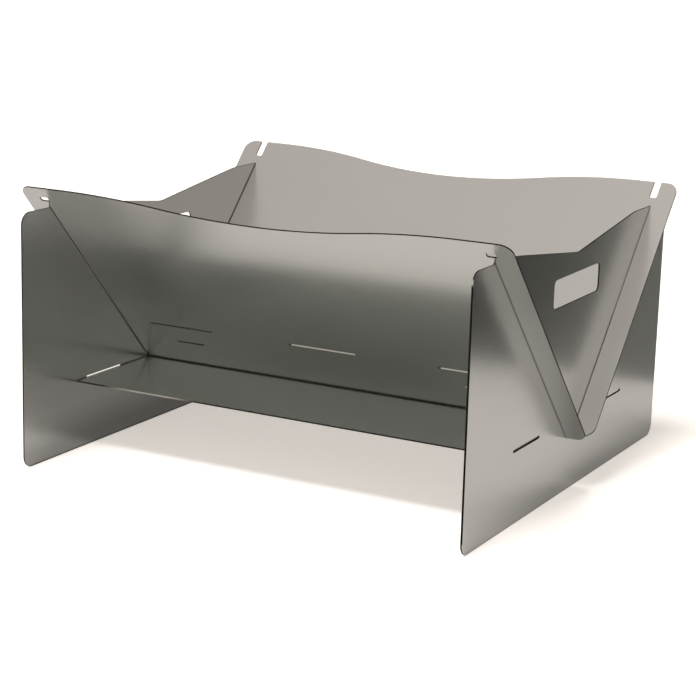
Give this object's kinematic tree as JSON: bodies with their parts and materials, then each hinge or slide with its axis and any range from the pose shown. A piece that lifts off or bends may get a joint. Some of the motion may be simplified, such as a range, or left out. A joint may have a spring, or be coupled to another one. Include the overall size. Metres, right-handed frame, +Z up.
{
  "type": "flat-pack fire bowl",
  "caption": "Fire bowl of brushed steel sheets slotted together: upright end plates carry leaning side plates in half-laps over a level base plate; the side plates lift out along their slope.",
  "frame": {"origin": "on the ground under the middle of the bowl, halfway between the end plates and between their front and rear edges", "axes": "+X along the bowl from the left end plate to the right one, -Y to the front, +Z up"},
  "size_m": [0.5518, 0.506, 0.2931],
  "materials": {
    "brushed_steel": "brushed, soft reflections, upright end plates",
    "brushed_steel_sides": "brushed along the bowl, soft reflections",
    "brushed_steel_base": "brushed along the bowl, soft reflections"
  },
  "bodies": {
    "frame": {"left_end_plate": "brushed_steel", "right_end_plate": "brushed_steel", "base_plate": "brushed_steel_base"},
    "front_side": {"front_side_plate": "brushed_steel_sides"},
    "rear_side": {"rear_side_plate": "brushed_steel_sides"}
  },
  "joints": [
    {"name": "front_side_lift", "type": "slide", "parent": "frame", "child": "front_side", "axis": [0, -0.6812, 0.7321], "range_m": [0, 0.29]},
    {"name": "rear_side_lift", "type": "slide", "parent": "frame", "child": "rear_side", "axis": [0, 0.6812, 0.7321], "range_m": [0, 0.29]}
  ]
}
